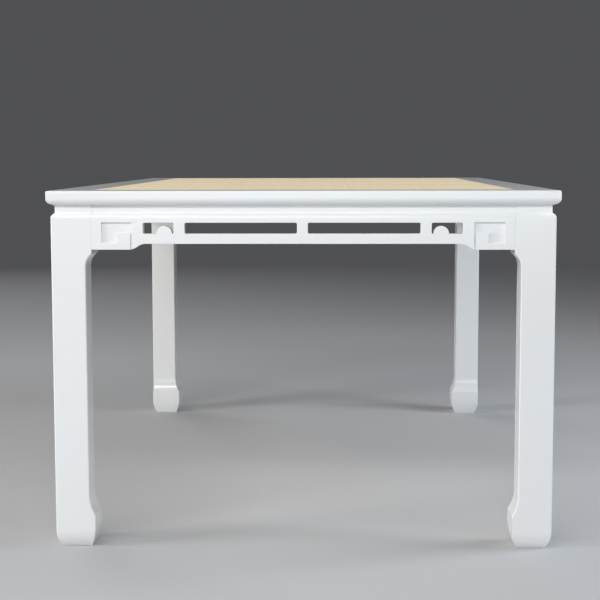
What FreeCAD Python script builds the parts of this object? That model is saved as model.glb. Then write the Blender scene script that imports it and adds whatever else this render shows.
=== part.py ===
import FreeCAD, Part
import math
import os
import re
import Sketcher

# Lacquered extension dining table with a raffia top, pierced aprons and hoof feet.
# X runs across the table, Y along it with the front end at -Y, Z up.
# The origin is on the floor below the middle of the top, where the two halves meet.

Vector = FreeCAD.Vector
Rotation = FreeCAD.Rotation

# Driving dimensions in millimetres
SIZES = {
    # top
    "table_height": 750,
    "top_width": 1056,
    "top_length": 1674,
    "top_thick": 30,
    "top_overhang": 8,
    "border_width": 84,
    "edge_round": 12.5,
    "edge_lip": 1.5,
    "edge_arris": 4,
    "ledge_width": 10,
    "core_thick": 17,
    "raffia_thick": 1,
    "panel_gap": 0.3,
    "seam_gap": 0.6,
    "spline_thick": 4,
    "spline_width": 30,
    "spline_length": 60,
    "spline_clear": 0.1,
    # waist
    "waist_height": 18,
    "waist_setback": 1.5,
    "cove_inset": 3.4,
    "cove_rise": 4.2,
    "shoulder_inset": 4.5,
    "shoulder_drop": 9.6,
    # legs
    "leg_block": 84,
    "leg_size": 71,
    "leg_drop": 9,
    "flare_height": 26,
    "hoof_height": 112,
    "crest_height": 69,
    "crest_bulge": 12,
    "hoof_wall": 23,
    "hoof_tuck": 10,
    "toe_height": 36,
    "toe_tuck": 12.5,
    "leg_edge": 2.5,
    # aprons
    "apron_thick": 22,
    "apron_depth": 61.5,
    "apron_edge": 1,
    "spandrel_drop": 12,
    "spandrel_length": 77,
    "ogee_length": 36,
    "scroll_panel": 107.3,
    "short_slot": 63.4,
    "strut_width": 22.5,
    "slot_drop": 18,
    "slot_height": 22.6,
    "slot_corner": 3,
    "button_radius": 16,
    "button_gap": 0.5,
    "fret_margin": 21,
    "fret_drop": 17,
    "fret_width": 63,
    "fret_height": 42,
    "fret_bar": 21.5,
    "fret_groove": 3.5,
    "fret_side": 33,
    "fret_depth": 4,
    # joinery
    "dowel_radius": 5,
    "dowel_length": 50,
    "dowel_pitch": 34,
    "dowel_drop": 21,
    "dowel_clear": 0.1,
    "cleat_size": 18,
    "cleat_gap": 10,
    "block_width": 39,
    "block_height": 50,
    "block_gap": 2,
    "lag_radius": 4,
    "lag_bite": 35,
    "lag_head_across": 13,
    "lag_head_height": 6,
    "lag_flange_radius": 10,
    "lag_flange_thick": 2,
    "screw_radius": 2,
    "screw_head_radius": 4,
    "screw_head_depth": 2.5,
    "screw_bite": 13,
    "screw_clear": 0.1,
    # battens and extension slides
    "batten_width": 60,
    "batten_thick": 20,
    "batten_relief": 1,
    "slide_spacing": 520,
    "slide_travel": 914,
    "slide_clear": 0.3,
    "runner_length": 1100,
    "runner_width": 22,
    "runner_height": 36,
    "runner_tail": 30,
    "tongue_depth": 8,
    "tongue_height": 12,
    "stop_length": 15,
    "middle_drop": 2,
    "tie_width": 70,
    "tie_thick": 16,
    "tie_screw_pitch": 40,
    # seam pins
    "pin_radius": 4,
    "pin_seat": 35,
    "pin_reach": 12,
    "pin_tip": 3,
    "pin_clear": 0.25,
    "pin_pitch": 220,
    # table locks
    "lock_spacing": 760,
    "lock_plate_width": 36,
    "lock_plate_length": 46,
    "lock_plate_thick": 2,
    "lock_plate_inset": 6,
    "lock_screw_pitch": 26,
    "lock_throw": 50,
    "lock_collar_radius": 8,
    "lock_collar_height": 3.5,
    "lock_pivot_radius": 4,
    "lock_pivot_head": 7,
    "lock_pivot_head_height": 3,
    "lock_lever_radius": 58,
    "lock_lever_thick": 3,
    "lock_hub_radius": 11,
    "lock_lever_span": 50,
    "lock_lever_start": -5,
    "lock_hook_span": 21,
    "lock_knob_angle": 6,
    "lock_knob_radius": 5,
    "lock_knob_height": 8,
    "lock_stud_radius": 3,
    "lock_clear": 0.3,
}

doc = FreeCAD.newDocument("extension_dining_table")
sheet = doc.addObject("Spreadsheet::Sheet", "dims")
for row, (alias, value) in enumerate(SIZES.items(), start=1):
    sheet.set(f"A{row}", alias)
    sheet.set(f"B{row}", str(value))
    sheet.setAlias(f"B{row}", alias)
doc.recompute()

# Places worked out from the driving dimensions, as formulas of the sheet's aliases
UNDERSIDE = "(table_height - top_thick)"
PANEL_SEAT = "(table_height - raffia_thick - core_thick)"
SEAM = "(seam_gap / 2)"
HALF_WIDTH = "(top_width / 2)"
HALF_LENGTH = "(top_length / 2)"
RAIL_WIDTH = "(border_width + ledge_width)"
PANEL_HALF = f"({HALF_WIDTH} - border_width - panel_gap)"
PANEL_END = f"({HALF_LENGTH} - border_width - panel_gap)"
LEG_FACE_X = f"({HALF_WIDTH} - top_overhang)"
LEG_FACE_Y = f"({HALF_LENGTH} - top_overhang)"
JOINT_X = f"({LEG_FACE_X} - leg_block)"
JOINT_Y = f"({LEG_FACE_Y} - leg_block)"
APRON_BACK_X = f"({LEG_FACE_X} - apron_thick)"
APRON_BACK_Y = f"({LEG_FACE_Y} - apron_thick)"
APRON_TOP = f"({UNDERSIDE} - waist_height)"
SHOULDER = f"({APRON_TOP} - shoulder_drop)"
COVE_TOP = f"({APRON_TOP} + cove_rise)"
WAIST_RECESS = "(shoulder_inset + cove_inset)"
APRON_BOTTOM = f"({APRON_TOP} - apron_depth)"
SPANDREL_BOTTOM = f"({APRON_BOTTOM} - spandrel_drop)"
FLARE_TOP = f"({SPANDREL_BOTTOM} - leg_drop)"
BATTEN_BOTTOM = f"({PANEL_SEAT} - batten_thick)"
BATTEN_HALF = f"({HALF_WIDTH} - {RAIL_WIDTH} - panel_gap)"
BATTEN_OUTER = "(runner_length / 2 - runner_tail)"
RUNNER_BOTTOM = f"({BATTEN_BOTTOM} - runner_height)"
RUNNER_MIDDLE = f"({BATTEN_BOTTOM} - runner_height / 2)"
TIE_TOP = f"({RUNNER_BOTTOM} - middle_drop)"
SLIDE_X = "(slide_spacing / 2)"
WEB_INNER = f"({SLIDE_X} - runner_width / 2)"
WEB_OUTER = f"({SLIDE_X} + runner_width / 2)"
GROOVE_DEPTH = "(tongue_depth + slide_clear)"
GROOVE_HALF = "(tongue_height / 2 + slide_clear)"
BLOCK_OUTER = "(2 * (leg_block - apron_thick) + block_gap)"
BLOCK_INNER = f"({BLOCK_OUTER} + block_width)"
BLOCK_TOP = f"({UNDERSIDE} - cleat_size - block_gap)"
LOCK_X = "(lock_spacing / 2)"
LOCK_PIVOT_Y = f"({SEAM} + lock_plate_inset + lock_plate_length / 2)"
LOCK_STUD_Y = f"(lock_throw - {LOCK_PIVOT_Y})"
LOCK_PLATE_BOTTOM = f"({BATTEN_BOTTOM} - lock_plate_thick)"
LOCK_LEVER_TOP = f"({LOCK_PLATE_BOTTOM} - lock_collar_height - lock_clear)"
LOCK_LEVER_BOTTOM = f"({LOCK_LEVER_TOP} - lock_lever_thick)"

LEFT_TO_RIGHT = Vector(1, 0, 0)
FRONT_TO_REAR = Vector(0, 1, 0)
ALONG = {
    "x": Rotation(Vector(0, 1, 0), 90),
    "y": Rotation(Vector(1, 0, 0), -90),
    "z": Rotation(),
    "towards leg": Rotation(Vector(0, 0, 1), Vector(-1, -1, 0)),
    "from leg": Rotation(Vector(0, 0, 1), Vector(1, 1, 0)),
}
SKETCH_FRONT = Rotation(Vector(1, 0, 0), 90)
SKETCH_SIDE = Rotation(Vector(1, 1, 1), 120)
MITRE_ANGLE = 45

# How an outline goes on from one of its points: straight, or along an arc whose centre is
# level with, or plumb with, the arc's first or last point
LINE = "line"
LEVEL_START = "level start"
LEVEL_END = "level end"
PLUMB_START = "plumb start"
PLUMB_END = "plumb end"

ALIASES = re.compile(r"\b(" + "|".join(SIZES) + r")\b")
sub_parts = []


def formula(text):
    """The text with each size's alias pointed at the sheet."""
    return ALIASES.sub(r"dims.\1", text)


def size(text):
    """The value of a formula, in millimetres."""
    return float(sheet.evalExpression(formula(text)))


def add(kind, name):
    """A new object of the document."""
    return doc.addObject(kind, name)


def bind(item, **formulas):
    """Ties an object's properties to formulas of the sheet."""
    for name, text in formulas.items():
        item.setExpression(name, formula(text))
    return item


def place(item, x, y, z, turn=None):
    """Ties an object's position to formulas, after turning it."""
    if turn is not None:
        item.Placement = FreeCAD.Placement(Vector(), turn)
    for axis, text in zip("xyz", (x, y, z)):
        item.setExpression(f"Placement.Base.{axis}", formula(text))
    return item


def sub_part(item, label):
    """Names a finished piece, which is then written to its own file."""
    item.Label = label
    sub_parts.append(item)
    return item


def box(name, x, y, z):
    """A box given by its lower and upper ends along each axis."""
    item = add("Part::Box", name)
    bind(
        item,
        Length=f"({x[1]}) - ({x[0]})",
        Width=f"({y[1]}) - ({y[0]})",
        Height=f"({z[1]}) - ({z[0]})",
    )
    return place(item, x[0], y[0], z[0])


def about(half):
    """A span that reaches as far to either side of zero."""
    return (f"-({half})", half)


def rod(name, start, axis, radius, length):
    """A round rod along an axis."""
    item = bind(add("Part::Cylinder", name), Radius=radius, Height=length)
    return place(item, *start, ALONG[axis])


def cone(name, start, axis, radius, end_radius, length):
    """A cone that goes from one radius to the other along an axis."""
    item = bind(add("Part::Cone", name), Radius1=radius, Radius2=end_radius, Height=length)
    return place(item, *start, ALONG[axis])


def fuse(name, pieces):
    """Several shapes as one solid."""
    item = add("Part::MultiFuse", name)
    item.Shapes = pieces
    item.Refine = True
    return item


def group(name, pieces):
    """Several separate solids as one object."""
    item = add("Part::Compound", name)
    item.Links = pieces
    return item


def cut(name, base, tools):
    """A shape with others taken out of it."""
    item = add("Part::Cut", name)
    item.Base = base
    item.Tool = tools[0] if len(tools) == 1 else group(f"{name}_tools", tools)
    return item


def mirrored(name, source, normal):
    """The mirror image of a shape in a plane through the origin."""
    item = add("Part::Mirroring", name)
    item.Source = source
    item.Normal = normal
    return item


def both_sides(name, left):
    """A shape and its mirror image to the right, as one object of separate solids."""
    return group(name, [left, mirrored(f"{name}_mirrored", left, LEFT_TO_RIGHT)])


def arc_centre(start, end, rule):
    """The centre of an arc through two points that follows one of the arc rules."""
    near, far = (start, end) if rule in (LEVEL_START, PLUMB_START) else (end, start)
    across, along = (0, 1) if rule in (LEVEL_START, LEVEL_END) else (1, 0)
    reach = far[across] - near[across]
    rise = far[along] - near[along]
    centre = list(near)
    centre[across] = near[across] + (reach * reach + rise * rise) / (2 * reach)
    return centre


def add_arc(sketch, start, end, rule):
    """Draws an arc and tells which of its ends is the outline's start and end."""
    centre = arc_centre(start, end, rule)
    radius = math.dist(centre, start)
    first = math.atan2(start[1] - centre[1], start[0] - centre[0])
    last = math.atan2(end[1] - centre[1], end[0] - centre[0])
    swept = (last - first) % (2 * math.pi)
    circle = Part.Circle(Vector(*centre, 0), Vector(0, 0, 1), radius)
    if swept <= math.pi:
        edge = sketch.addGeometry(Part.ArcOfCircle(circle, first, first + swept), False)
        ends = (1, 2)
    else:
        edge = sketch.addGeometry(Part.ArcOfCircle(circle, last, last + 2 * math.pi - swept), False)
        ends = (2, 1)
    tie = "Horizontal" if rule in (LEVEL_START, LEVEL_END) else "Vertical"
    tied_end = ends[0] if rule in (LEVEL_START, PLUMB_START) else ends[1]
    sketch.addConstraint(Sketcher.Constraint(tie, edge, 3, edge, tied_end))
    return (edge, *ends)


def outline(sketch, path):
    """A closed outline through points given as formulas, each with the way it goes on."""
    points = [(size(x), size(y)) for x, y, rule in path]
    edges = []
    for index, (x, y, rule) in enumerate(path):
        start = points[index]
        end = points[(index + 1) % len(points)]
        if rule == LINE:
            line = Part.LineSegment(Vector(*start, 0), Vector(*end, 0))
            edges.append((sketch.addGeometry(line, False), 1, 2))
        else:
            edges.append(add_arc(sketch, start, end, rule))
    for index, (edge, first, last) in enumerate(edges):
        following = edges[(index + 1) % len(edges)]
        sketch.addConstraint(Sketcher.Constraint("Coincident", edge, last, following[0], following[1]))
    for (edge, first, last), (x, y, rule), point in zip(edges, path, points):
        for kind, text, value in (("DistanceX", x, point[0]), ("DistanceY", y, point[1])):
            number = sketch.addConstraint(Sketcher.Constraint(kind, -1, 1, edge, first, value))
            sketch.setExpression(f"Constraints[{number}]", formula(text))
    return sketch


def free_sketch(name, path, turn, x, y, z):
    """A sketch of an outline that stands by itself."""
    sketch = place(add("Sketcher::SketchObject", name), x, y, z, turn)
    return outline(sketch, path)


def extrusion(name, sketch, direction, length):
    """A solid pulled from a sketch along a direction."""
    item = add("Part::Extrusion", name)
    item.Base = sketch
    item.DirMode = "Custom"
    item.Dir = direction
    item.Solid = True
    return bind(item, LengthFwd=length)


def origin_plane(body, role):
    """One of a body's own origin planes."""
    return next(plane for plane in body.Origin.OriginFeatures if plane.Role == role)


def body_sketch(body, name, role, path):
    """A sketch of an outline on one of a body's own origin planes."""
    sketch = body.newObject("Sketcher::SketchObject", name)
    sketch.AttachmentSupport = [(origin_plane(body, role), "")]
    sketch.MapMode = "FlatFace"
    return outline(sketch, path)


def screw(name, x, y, z, length, clear="0"):
    """A countersunk wood screw that points up, with its head's face at z; or, with room, its hole."""
    shank = rod(f"{name}_shank", (x, y, z), "z", f"screw_radius + {clear}", f"{length} + {clear}")
    head = cone(
        f"{name}_head", (x, y, z), "z",
        f"screw_head_radius + {clear}", f"screw_radius + {clear}", "screw_head_depth",
    )
    return fuse(name, [shank, head])


def screw_holes(name, spots, z, length):
    """The holes of a row of screws."""
    return [
        screw(f"{name}_hole_{number}", x, y, z, length, "screw_clear")
        for number, (x, y) in enumerate(spots)
    ]


def screws(name, spots, z, length):
    """A row of screws as separate solids."""
    return group(name, [screw(f"{name}_{number}", x, y, z, length) for number, (x, y) in enumerate(spots)])


# Top frame

def rail_path(reach):
    """Section of a rail of the top frame, from its moulded edge inwards; reach gives the way inwards."""
    return [
        (reach("edge_round"), UNDERSIDE, LINE),
        (reach("edge_round"), f"{UNDERSIDE} + edge_lip", PLUMB_START),
        (reach("0"), f"{UNDERSIDE} + edge_lip + edge_round", LINE),
        (reach("0"), "table_height - edge_arris", LEVEL_START),
        (reach("edge_arris"), "table_height", LINE),
        (reach("border_width"), "table_height", LINE),
        (reach("border_width"), PANEL_SEAT, LINE),
        (reach(RAIL_WIDTH), PANEL_SEAT, LINE),
        (reach(RAIL_WIDTH), UNDERSIDE, LINE),
    ]


def spline_block(name, clear="0"):
    """The loose tongue in the front left mitre, or, with room, its slot."""
    turn = Rotation(Vector(0, 0, 1), MITRE_ANGLE)
    item = bind(
        add("Part::Box", name),
        Length=f"spline_length + 2 * {clear}",
        Width=f"spline_width + 2 * {clear}",
        Height=f"spline_thick + 2 * {clear}",
    )
    middle = "border_width / 2"
    along = f"((spline_length / 2 + {clear}) * sqrt(0.5))"
    across = f"((spline_width / 2 + {clear}) * sqrt(0.5))"
    x = f"-{HALF_WIDTH} + {middle} - {along} + {across}"
    y = f"-{HALF_LENGTH} + {middle} - {along} - {across}"
    z = f"table_height - top_thick / 2 - spline_thick / 2 - {clear}"
    return place(item, x, y, z, turn)


def end_rail():
    """The front rail of the top frame, mitred at both ends."""
    body = add("PartDesign::Body", "end_rail_body")
    profile = body_sketch(
        body, "end_rail_profile", "YZ_Plane", rail_path(lambda inwards: f"-{HALF_LENGTH} + {inwards}")
    )
    pad = body.newObject("PartDesign::Pad", "end_rail_pad")
    pad.Profile = profile
    pad.SideType = "Symmetric"
    bind(pad, Length="top_width")
    waste = [
        (f"-{HALF_WIDTH} - border_width", f"-{HALF_LENGTH} - border_width", LINE),
        (f"-{HALF_WIDTH} + 2 * border_width", f"-{HALF_LENGTH} + 2 * border_width", LINE),
        (f"-{HALF_WIDTH} - border_width", f"-{HALF_LENGTH} + 2 * border_width", LINE),
    ]
    mitre = body.newObject("PartDesign::Pocket", "end_rail_mitre")
    mitre.Profile = body_sketch(body, "end_rail_waste", "XY_Plane", waste)
    mitre.Type = "ThroughAll"
    mitre.Reversed = True
    mirror = body.newObject("PartDesign::Mirrored", "end_rail_mitres")
    mirror.Originals = [mitre]
    mirror.MirrorPlane = (origin_plane(body, "YZ_Plane"), [""])
    body.Tip = mirror
    slot = spline_block("end_rail_slot", "spline_clear")
    other_slot = mirrored("end_rail_other_slot", slot, LEFT_TO_RIGHT)
    return cut("end_rail", body, [slot, other_slot])


def side_rail():
    """The front left rail of the top frame, mitred at the front and square at the seam."""
    body = add("PartDesign::Body", "side_rail_body")
    profile = body_sketch(
        body, "side_rail_profile", "XZ_Plane", rail_path(lambda inwards: f"-{HALF_WIDTH} + {inwards}")
    )
    pad = body.newObject("PartDesign::Pad", "side_rail_pad")
    pad.Profile = profile
    bind(pad, Length=f"{HALF_LENGTH} - {SEAM}")
    waste = [
        (f"-{HALF_WIDTH} - border_width", f"-{HALF_LENGTH} + {SEAM} - border_width", LINE),
        (f"-{HALF_WIDTH} + 2 * border_width", f"-{HALF_LENGTH} + {SEAM} - border_width", LINE),
        (f"-{HALF_WIDTH} + 2 * border_width", f"-{HALF_LENGTH} + {SEAM} + 2 * border_width", LINE),
    ]
    mitre = body.newObject("PartDesign::Pocket", "side_rail_mitre")
    mitre.Profile = body_sketch(body, "side_rail_waste", "XY_Plane", waste)
    mitre.Type = "ThroughAll"
    mitre.Reversed = True
    place(body, "0", f"-{SEAM}", "0")
    return cut("side_rail", body, [spline_block("side_rail_slot", "spline_clear")])


# Legs and aprons

def leg_path():
    """A leg's outline seen square to one of its faces, from its outer face inwards."""
    crest = "leg_size + crest_bulge"
    return [
        ("toe_tuck", "0", LEVEL_END),
        ("0", "toe_height", LINE),
        ("0", SHOULDER, LEVEL_START),
        ("shoulder_inset", APRON_TOP, LEVEL_END),
        (WAIST_RECESS, COVE_TOP, LINE),
        (WAIST_RECESS, UNDERSIDE, LINE),
        ("leg_block", UNDERSIDE, LINE),
        ("leg_block", FLARE_TOP, LEVEL_END),
        ("leg_size", f"{FLARE_TOP} - flare_height", LINE),
        ("leg_size", "hoof_height", LEVEL_START),
        (crest, "crest_height", LINE),
        (crest, "crest_height - hoof_wall", LEVEL_START),
        (f"{crest} - hoof_tuck", "0", LINE),
    ]


def leg(holes):
    """The front left leg: one outline sawn from two faces, its long edges eased, then bored."""
    corner = (f"-{LEG_FACE_X}", f"-{LEG_FACE_Y}", "0")
    reach = "leg_block + crest_bulge"
    front = free_sketch("leg_front_outline", leg_path(), SKETCH_FRONT, *corner)
    side = free_sketch("leg_side_outline", leg_path(), SKETCH_SIDE, *corner)
    sawn = add("Part::MultiCommon", "leg_sawn")
    sawn.Shapes = [
        extrusion("leg_front_cut", front, Vector(0, 1, 0), reach),
        extrusion("leg_side_cut", side, Vector(1, 0, 0), reach),
    ]
    doc.recompute()
    eased = add("Part::Fillet", "leg_eased")
    eased.Base = sawn
    eased.Edges = [
        (number, radius, radius)
        for number, edge in enumerate(sawn.Shape.Edges, start=1)
        for radius in [leg_edge_radius(edge.BoundBox)] if radius
    ]
    return cut("leg", eased, holes)


def leg_edge_radius(bounds):
    """How far an edge of a leg is rounded: the post's long edges most, the joints with the aprons little."""
    tiny = 1e-4
    outer_x = abs(bounds.XMin + size(LEG_FACE_X)) < tiny
    outer_y = abs(bounds.YMin + size(LEG_FACE_Y)) < tiny
    at_joint_x = abs(bounds.XMin + size(JOINT_X)) < tiny
    at_joint_y = abs(bounds.YMin + size(JOINT_Y)) < tiny
    upright = max(bounds.XLength, bounds.YLength) < tiny
    if upright and bounds.ZLength > size("hoof_height"):
        return size("leg_edge")
    if upright and (outer_x and at_joint_y or outer_y and at_joint_x):
        return size("apron_edge")
    return 0


def waist_path():
    """Section of a waist strip, from the leg's face inwards: a cove, an upright face, then its back."""
    return [
        ("shoulder_inset + waist_setback", APRON_TOP, LEVEL_END),
        (f"{WAIST_RECESS} + waist_setback", COVE_TOP, LINE),
        (f"{WAIST_RECESS} + waist_setback", UNDERSIDE, LINE),
        ("apron_thick", UNDERSIDE, LINE),
        ("apron_thick", APRON_TOP, LINE),
    ]


def end_waist():
    """The front waist strip, from leg to leg."""
    corner = (f"-{JOINT_X}", f"-{LEG_FACE_Y}", "0")
    section = free_sketch("end_waist_section", waist_path(), SKETCH_SIDE, *corner)
    return extrusion("end_waist", section, Vector(1, 0, 0), f"2 * {JOINT_X}")


def side_waist():
    """The front left waist strip, from the leg to the seam."""
    corner = (f"-{LEG_FACE_X}", f"-{JOINT_Y}", "0")
    section = free_sketch("side_waist_section", waist_path(), SKETCH_FRONT, *corner)
    return extrusion("side_waist", section, Vector(0, 1, 0), f"{JOINT_Y} - {SEAM}")


def slot_path(at, first, last):
    """A round-cornered slot of an apron, between two distances from the leg."""
    top = f"{APRON_TOP} - slot_drop"
    bottom = f"({top} - slot_height)"
    return [
        (at(f"{first} + slot_corner"), bottom, LINE),
        (at(f"{last} - slot_corner"), bottom, PLUMB_START),
        (at(last), f"{bottom} + slot_corner", LINE),
        (at(last), f"{top} - slot_corner", LEVEL_START),
        (at(f"{last} - slot_corner"), top, LINE),
        (at(f"{first} + slot_corner"), top, PLUMB_START),
        (at(first), f"{top} - slot_corner", LINE),
        (at(first), f"{bottom} + slot_corner", LEVEL_START),
    ]


def button_slot_path(at):
    """The short slot next to the spandrel, with the half-round button on its lower edge."""
    last = "(scroll_panel + short_slot)"
    bottom = f"({APRON_TOP} - slot_drop - slot_height)"
    button_end = f"({last} - slot_corner - button_gap)"
    path = slot_path(at, "scroll_panel", last)
    path[1:1] = [
        (at(f"{button_end} - 2 * button_radius"), bottom, LEVEL_START),
        (at(f"{button_end} - button_radius"), f"{bottom} + button_radius", LEVEL_END),
        (at(button_end), bottom, LINE),
    ]
    return path


def fret_path(at):
    """The sunk square hook of the spandrel, which leaves a tongue standing."""
    top = f"({APRON_TOP} - fret_drop)"
    far = "(fret_margin + fret_width)"
    return [
        (at("fret_margin"), top, LINE),
        (at("fret_margin"), f"{top} - fret_height", LINE),
        (at("fret_margin + fret_side"), f"{top} - fret_height", LINE),
        (at("fret_margin + fret_side"), f"{top} - fret_bar", LINE),
        (at(f"{far} - fret_groove"), f"{top} - fret_bar", LINE),
        (at(f"{far} - fret_groove"), f"{SPANDREL_BOTTOM} - spandrel_drop", LINE),
        (at(far), f"{SPANDREL_BOTTOM} - spandrel_drop", LINE),
        (at(far), top, LINE),
    ]


def spandrel_edge(at):
    """Lower edge of an apron from the leg, along the spandrel and up the ogee to the straight stretch."""
    return [
        (at("0"), SPANDREL_BOTTOM, LINE),
        (at("spandrel_length"), SPANDREL_BOTTOM, PLUMB_START),
        (at("spandrel_length + ogee_length / 2"), f"{APRON_BOTTOM} - spandrel_drop / 2", PLUMB_END),
        (at("spandrel_length + ogee_length"), APRON_BOTTOM, LINE),
    ]


def pocket(body, name, path, depth=None):
    """A cut into an apron's face, right through or to a depth."""
    item = body.newObject("PartDesign::Pocket", name)
    item.Profile = body_sketch(body, f"{name}_outline", "XZ_Plane", path)
    if depth is None:
        item.Type = "ThroughAll"
    else:
        bind(item, Length=depth)
    return item


def apron_body(name, at, board, long_slots, run):
    """An apron in its own frame: its face on the XZ plane, its back at +Y, heights as on the table."""
    body = add("PartDesign::Body", f"{name}_body")
    pad = body.newObject("PartDesign::Pad", f"{name}_board")
    pad.Profile = body_sketch(body, f"{name}_outline", "XZ_Plane", board)
    pad.Reversed = True
    bind(pad, Length="apron_thick")
    cuts = [
        pocket(body, f"{name}_button_slot", button_slot_path(at)),
        pocket(body, f"{name}_fret", fret_path(at), "fret_depth"),
    ]
    fixed = f"(scroll_panel + short_slot + strut_width / 2 + {long_slots} * strut_width)"
    slot = f"(({run} - {fixed}) / {long_slots})"
    for number in range(long_slots):
        first = f"(scroll_panel + short_slot + strut_width + {number} * ({slot} + strut_width))"
        cuts.append(pocket(body, f"{name}_long_slot_{number}", slot_path(at, first, f"({first} + {slot})")))
    return body, cuts


def round_edges(body, name, base, radius, chosen):
    """Rounds those edges of a body's feature that a test picks."""
    doc.recompute()
    item = body.newObject("PartDesign::Fillet", name)
    names = [
        f"Edge{number}" for number, edge in enumerate(base.Shape.Edges, start=1)
        if chosen(edge.BoundBox)
    ]
    item.Base = (base, names)
    bind(item, Radius=radius)
    body.Tip = item
    return item


def plane_shoulder(body, name):
    """Planes an apron's top edge to the round shoulder under the waist, from end to end."""
    above = f"{APRON_TOP} + shoulder_drop"
    waste = [
        ("0", SHOULDER, LEVEL_START),
        ("shoulder_inset", APRON_TOP, LINE),
        ("shoulder_inset", above, LINE),
        ("-shoulder_inset", above, LINE),
        ("-shoulder_inset", SHOULDER, LINE),
    ]
    item = body.newObject("PartDesign::Pocket", name)
    item.Profile = body_sketch(body, f"{name}_waste", "YZ_Plane", waste)
    item.Type = "ThroughAll"
    item.SideType = "Symmetric"
    body.Tip = item
    return item


def ease_apron(body, name, leg_ends):
    """Planes an apron's shoulder, then softens the edges of its face."""
    slot_top = size(f"{APRON_TOP} - slot_drop")
    tiny = 1e-4

    def on_face(bounds):
        at_leg = any(abs(bounds.XMin - end) < tiny for end in leg_ends) and bounds.XLength < tiny
        in_piercing = bounds.ZMax < slot_top + tiny and bounds.XLength > tiny
        return bounds.YMax < tiny and (at_leg or in_piercing)

    planed = plane_shoulder(body, f"{name}_shoulder")
    return round_edges(body, f"{name}_eased", planed, "apron_edge", on_face)


def end_apron(holes):
    """The front apron, alike to both sides of the middle."""
    def at(distance):
        return f"{distance} - {JOINT_X}"

    def at_right(distance):
        return f"{JOINT_X} - ({distance})"

    right_edge = spandrel_edge(at_right)
    left_edge = spandrel_edge(at)[::-1]
    ways_back = [PLUMB_START, PLUMB_END, LINE, LINE]
    left_edge = [(x, z, way) for (x, z, _), way in zip(left_edge, ways_back)]
    board = [(at("0"), APRON_TOP, LINE), (at_right("0"), APRON_TOP, LINE)] + right_edge + left_edge
    body, cuts = apron_body("end_apron", at, board, 1, JOINT_X)
    mirror = body.newObject("PartDesign::Mirrored", "end_apron_cuts")
    mirror.Originals = cuts
    mirror.MirrorPlane = (origin_plane(body, "YZ_Plane"), [""])
    body.Tip = mirror
    ease_apron(body, "end_apron", [-size(JOINT_X), size(JOINT_X)])
    place(body, "0", f"-{LEG_FACE_Y}", "0")
    return cut("end_apron", body, holes)


def side_apron(holes):
    """The front left apron, from the leg to the seam."""
    def at(distance):
        return f"-({distance})"

    run = f"({JOINT_Y} - {SEAM})"
    board = [(at(run), APRON_TOP, LINE), (at("0"), APRON_TOP, LINE)]
    board += spandrel_edge(at) + [(at(run), APRON_BOTTOM, LINE)]
    body, cuts = apron_body("side_apron", at, board, 2, JOINT_Y)
    ease_apron(body, "side_apron", [0])
    place(body, f"-{LEG_FACE_X}", f"-{JOINT_Y}", "0", Rotation(Vector(0, 0, 1), -90))
    return cut("side_apron", body, holes)


# Joinery

def corner_dowels(name, axis, clear="0"):
    """Two dowels between the front left leg and an apron, or, with room, their holes."""
    middle = "apron_thick / 2"
    start = f"dowel_length / 2 + {clear}"
    rods = []
    for number in range(2):
        z = f"{APRON_TOP} - dowel_drop - {number} * dowel_pitch"
        if axis == "x":
            spot = (f"-{JOINT_X} - ({start})", f"-{LEG_FACE_Y} + {middle}", z)
        else:
            spot = (f"-{LEG_FACE_X} + {middle}", f"-{JOINT_Y} - ({start})", z)
        length = f"dowel_length + 2 * {clear}"
        rods.append(rod(f"{name}_{axis}_{number}", spot, axis, f"dowel_radius + {clear}", length))
    return rods


def corner_block(hole):
    """The block across the front left corner, glued to both aprons behind the leg."""
    path = [
        (BLOCK_OUTER, "0", LINE),
        (BLOCK_INNER, "0", LINE),
        ("0", BLOCK_INNER, LINE),
        ("0", BLOCK_OUTER, LINE),
    ]
    bottom = f"{BLOCK_TOP} - block_height"
    sketch = free_sketch("block_outline", path, Rotation(), f"-{APRON_BACK_X}", f"-{APRON_BACK_Y}", bottom)
    return cut("block", extrusion("block_blank", sketch, Vector(0, 0, 1), "block_height"), [hole])


def lag_shank(name, clear="0"):
    """The shank of the lag screw from the block's inner face into the leg, or, with room, its hole."""
    length = f"({BLOCK_INNER} - 2 * (leg_block - apron_thick)) * sqrt(0.5) + lag_bite + {clear}"
    return rod(name, LAG_SEAT, "towards leg", f"lag_radius + {clear}", length)


def lag_screw():
    """The flanged hexagon lag screw that pulls the leg against its block."""
    flange = rod("lag_flange", LAG_SEAT, "from leg", "lag_flange_radius", "lag_flange_thick")
    head = bind(
        add("Part::Prism", "lag_head"),
        Circumradius="lag_head_across / sqrt(3)",
        Height="lag_flange_thick + lag_head_height",
    )
    place(head, *LAG_SEAT, ALONG["from leg"])
    return fuse("lag_screw", [lag_shank("lag_shank"), flange, head])


def cleats():
    """The cleats behind the waist: one along the end and one along each side."""
    z = (f"{UNDERSIDE} - cleat_size", UNDERSIDE)
    end = box(
        "end_cleat", about(f"{JOINT_X} - {CLEAT_START}"),
        (f"-{APRON_BACK_Y}", f"-{APRON_BACK_Y} + cleat_size"), z,
    )
    left = box(
        "left_cleat", (f"-{APRON_BACK_X}", f"-{APRON_BACK_X} + cleat_size"),
        (f"-{JOINT_Y} + {CLEAT_START}", f"-{SEAM} - cleat_gap"), z,
    )
    return group("cleats", [end, left, mirrored("right_cleat", left, LEFT_TO_RIGHT)])


# Battens and extension slides

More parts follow.
